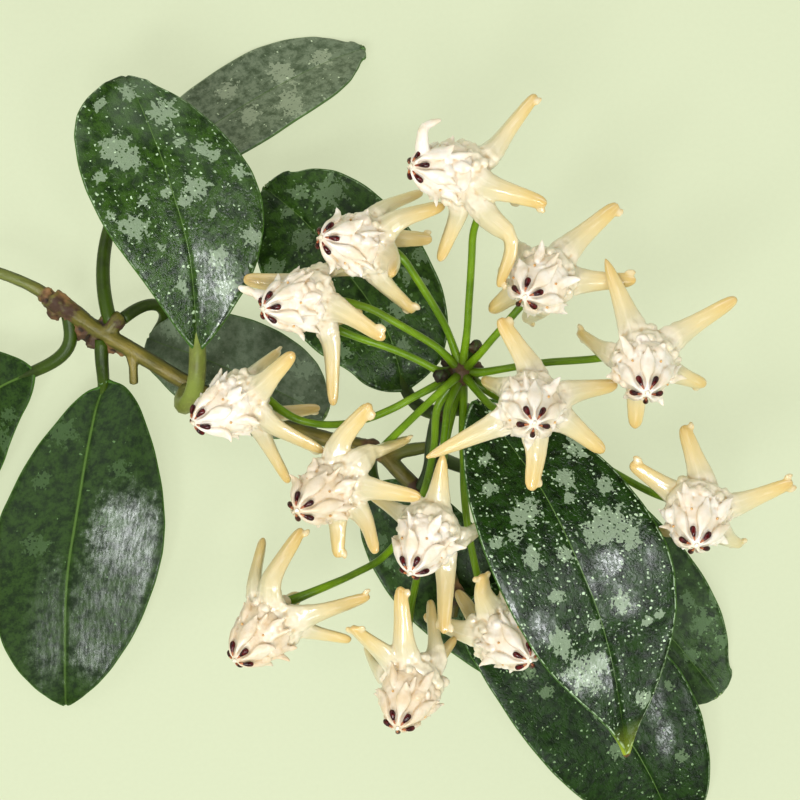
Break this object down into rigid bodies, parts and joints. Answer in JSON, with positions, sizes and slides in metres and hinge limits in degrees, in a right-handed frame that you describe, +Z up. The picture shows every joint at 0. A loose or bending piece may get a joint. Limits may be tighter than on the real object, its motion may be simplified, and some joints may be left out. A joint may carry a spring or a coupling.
{
  "type": "hoya flower cutting",
  "caption": "Cut hoya stem with splash-marked oval leaves and one umbel of waxy cream star flowers with maroon-marked crowns, lying on a flat surface.",
  "frame": {"origin": "middle of the footprint, on the surface that the cutting lies on", "axes": "+Z up from the surface towards the open flowers, +X along the cutting's longest extent, +Y towards the topmost leaf"},
  "size_m": [0.218, 0.1942, 0.092],
  "materials": {
    "stem_bark": "satin",
    "shoot_green": "satin",
    "leaf_green": "gloss",
    "petal_wax": "waxy",
    "crown_wax": "waxy",
    "pedicel_green": "satin"
  },
  "bodies": {
    "root": {"main_stem": "stem_bark", "flowering_shoot": "shoot_green", "leaf_front_left": "leaf_green", "leaf_top": "leaf_green", "leaf_behind_flowers": "leaf_green", "leaf_behind_stem": "leaf_green", "leaf_front_right": "leaf_green", "leaf_bottom": "leaf_green", "leaf_low_middle": "leaf_green", "leaf_right_rear": "leaf_green", "leaf_bottom_left": "leaf_green", "leaf_far_left": "leaf_green", "corolla_01": "petal_wax", "corona_01": "crown_wax", "pedicel_01": "pedicel_green", "corolla_02": "petal_wax", "corona_02": "crown_wax", "pedicel_02": "pedicel_green", "corolla_03": "petal_wax", "corona_03": "crown_wax", "pedicel_03": "pedicel_green", "corolla_04": "petal_wax", "corona_04": "crown_wax", "pedicel_04": "pedicel_green", "corolla_05": "petal_wax", "corona_05": "crown_wax", "pedicel_05": "pedicel_green", "corolla_06": "petal_wax", "corona_06": "crown_wax", "pedicel_06": "pedicel_green", "corolla_07": "petal_wax", "corona_07": "crown_wax", "pedicel_07": "pedicel_green", "corolla_08": "petal_wax", "corona_08": "crown_wax", "pedicel_08": "pedicel_green", "corolla_09": "petal_wax", "corona_09": "crown_wax", "pedicel_09": "pedicel_green", "corolla_10": "petal_wax", "corona_10": "crown_wax", "pedicel_10": "pedicel_green", "corolla_11": "petal_wax", "corona_11": "crown_wax", "pedicel_11": "pedicel_green", "corolla_12": "petal_wax", "corona_12": "crown_wax", "pedicel_12": "pedicel_green", "corolla_13": "petal_wax", "corona_13": "crown_wax", "pedicel_13": "pedicel_green", "pedicel_bare": "pedicel_green"}
  },
  "joints": []
}
